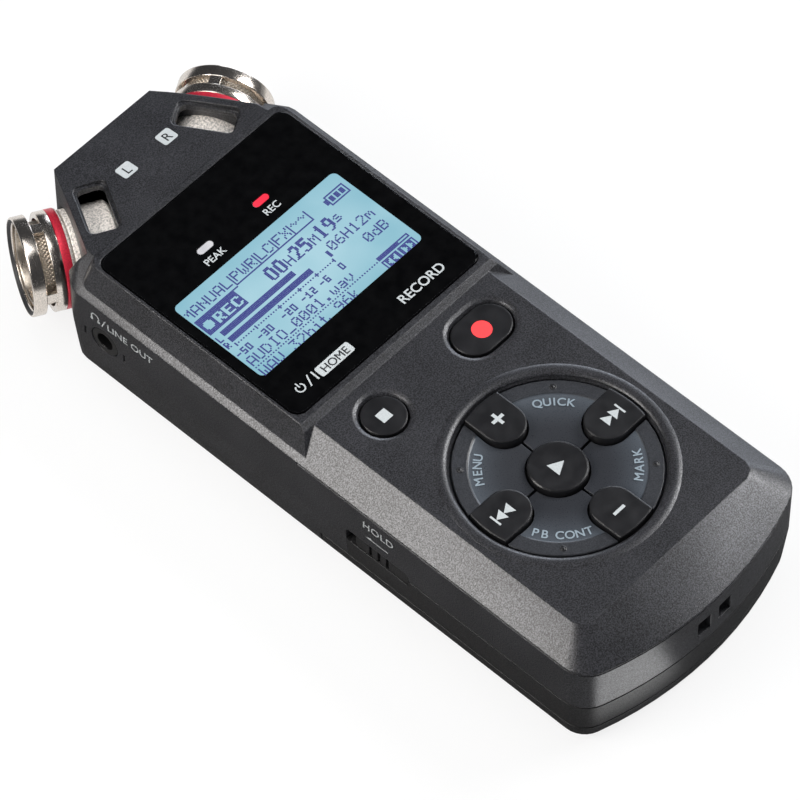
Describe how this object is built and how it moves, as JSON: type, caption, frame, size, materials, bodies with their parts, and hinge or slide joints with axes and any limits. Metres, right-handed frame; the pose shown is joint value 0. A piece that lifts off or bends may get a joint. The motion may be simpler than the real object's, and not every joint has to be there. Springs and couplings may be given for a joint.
{
  "type": "field recorder",
  "caption": "Handheld audio recorder with angled microphones, a display, a round keypad, a hold switch and a sliding battery cover.",
  "frame": {"origin": "middle of the case's width and length, on its flat back face", "axes": "+X to the reader's right when the display is upright, +Y along the case towards the microphones, +Z out of the display"},
  "size_m": [0.0596, 0.1435, 0.026],
  "materials": {
    "case_paint": "satin charcoal with a fine metallic speckle",
    "black_plastic": "fine matt texture",
    "display_glass": "clear over black print, high gloss",
    "lcd": "lit screen",
    "white_lamp": "clear light guide",
    "red_lamp": "lit light guide",
    "key_plastic": "gloss",
    "quadrant_plastic": "semi gloss",
    "key_rubber": "soft",
    "board": "solder mask",
    "battery_wrap": "printed sleeve, plain",
    "brass": "turned",
    "steel": "plated",
    "nickel": "satin nickel plate",
    "red_ring": "red anodised"
  },
  "bodies": {
    "casing": {"front_case": "case_paint", "rear_case": "black_plastic", "tripod_insert": "brass", "upper_screw_left": "steel", "upper_screw_right": "steel", "lower_screw_left": "steel", "lower_screw_right": "steel", "display_glass": "display_glass", "lcd_module": "lcd", "peak_lamp": "white_lamp", "record_lamp": "red_lamp", "key_mat": "key_rubber", "hold_switch": "steel", "main_board": "board", "headphone_jack": "black_plastic", "input_jack": "black_plastic", "usb_socket": "steel", "card_socket": "steel", "speaker": "black_plastic", "battery_left": "battery_wrap", "battery_right": "battery_wrap", "battery_spring_left": "steel", "battery_spring_right": "steel", "battery_contact_left": "steel", "battery_contact_right": "steel", "mic_guard_left": "nickel", "mic_band_left": "red_ring", "mic_cup_left": "nickel", "mic_capsule_left": "black_plastic", "mic_body_left": "nickel", "mic_guard_right": "nickel", "mic_band_right": "red_ring", "mic_cup_right": "nickel", "mic_capsule_right": "black_plastic", "mic_body_right": "nickel"},
    "stop_button_body": {"stop_button": "key_plastic"},
    "record_button_body": {"record_button": "key_plastic"},
    "play_button_body": {"play_button": "key_plastic"},
    "forward_key_body": {"forward_key": "key_plastic"},
    "plus_key_body": {"plus_key": "key_plastic"},
    "rewind_key_body": {"rewind_key": "key_plastic"},
    "minus_key_body": {"minus_key": "key_plastic"},
    "quick_key_body": {"quick_key": "quadrant_plastic"},
    "menu_key_body": {"menu_key": "quadrant_plastic"},
    "playback_key_body": {"playback_key": "quadrant_plastic"},
    "mark_key_body": {"mark_key": "quadrant_plastic"},
    "hold_slider_body": {"hold_slider": "black_plastic"},
    "battery_cover_body": {"battery_cover": "black_plastic"},
    "card_flap_body": {"card_flap": "case_paint"},
    "memory_card_body": {"memory_card": "black_plastic"}
  },
  "joints": [
    {"name": "stop_button_press", "type": "slide", "parent": "casing", "child": "stop_button_body", "axis": [0, 0, -1], "range_m": [0, 0.0004]},
    {"name": "record_button_press", "type": "slide", "parent": "casing", "child": "record_button_body", "axis": [0, 0, -1], "range_m": [0, 0.0004]},
    {"name": "play_button_press", "type": "slide", "parent": "casing", "child": "play_button_body", "axis": [0, 0, -1], "range_m": [0, 0.0004]},
    {"name": "forward_key_press", "type": "slide", "parent": "casing", "child": "forward_key_body", "axis": [0, 0, -1], "range_m": [0, 0.0004]},
    {"name": "plus_key_press", "type": "slide", "parent": "casing", "child": "plus_key_body", "axis": [0, 0, -1], "range_m": [0, 0.0004]},
    {"name": "rewind_key_press", "type": "slide", "parent": "casing", "child": "rewind_key_body", "axis": [0, 0, -1], "range_m": [0, 0.0004]},
    {"name": "minus_key_press", "type": "slide", "parent": "casing", "child": "minus_key_body", "axis": [0, 0, -1], "range_m": [0, 0.0004]},
    {"name": "quick_key_press", "type": "slide", "parent": "casing", "child": "quick_key_body", "axis": [0, 0, -1], "range_m": [0, 0.0004]},
    {"name": "menu_key_press", "type": "slide", "parent": "casing", "child": "menu_key_body", "axis": [0, 0, -1], "range_m": [0, 0.0004]},
    {"name": "playback_key_press", "type": "slide", "parent": "casing", "child": "playback_key_body", "axis": [0, 0, -1], "range_m": [0, 0.0004]},
    {"name": "mark_key_press", "type": "slide", "parent": "casing", "child": "mark_key_body", "axis": [0, 0, -1], "range_m": [0, 0.0004]},
    {"name": "hold_slide", "type": "slide", "parent": "casing", "child": "hold_slider_body", "axis": [0, 1, 0], "range_m": [0, 0.0019]},
    {"name": "battery_cover_slide", "type": "slide", "parent": "casing", "child": "battery_cover_body", "axis": [0, -1, 0], "range_m": [0, 0.006]},
    {"name": "card_flap_hinge", "type": "hinge", "parent": "casing", "child": "card_flap_body", "pos_m": [0.0263, 0.0075, 0.0056], "axis": [0, 1, 0], "range_deg": [0, 100]},
    {"name": "memory_card_push", "type": "slide", "parent": "casing", "child": "memory_card_body", "axis": [-1, 0, 0], "range_m": [0, 0.0008]}
  ]
}
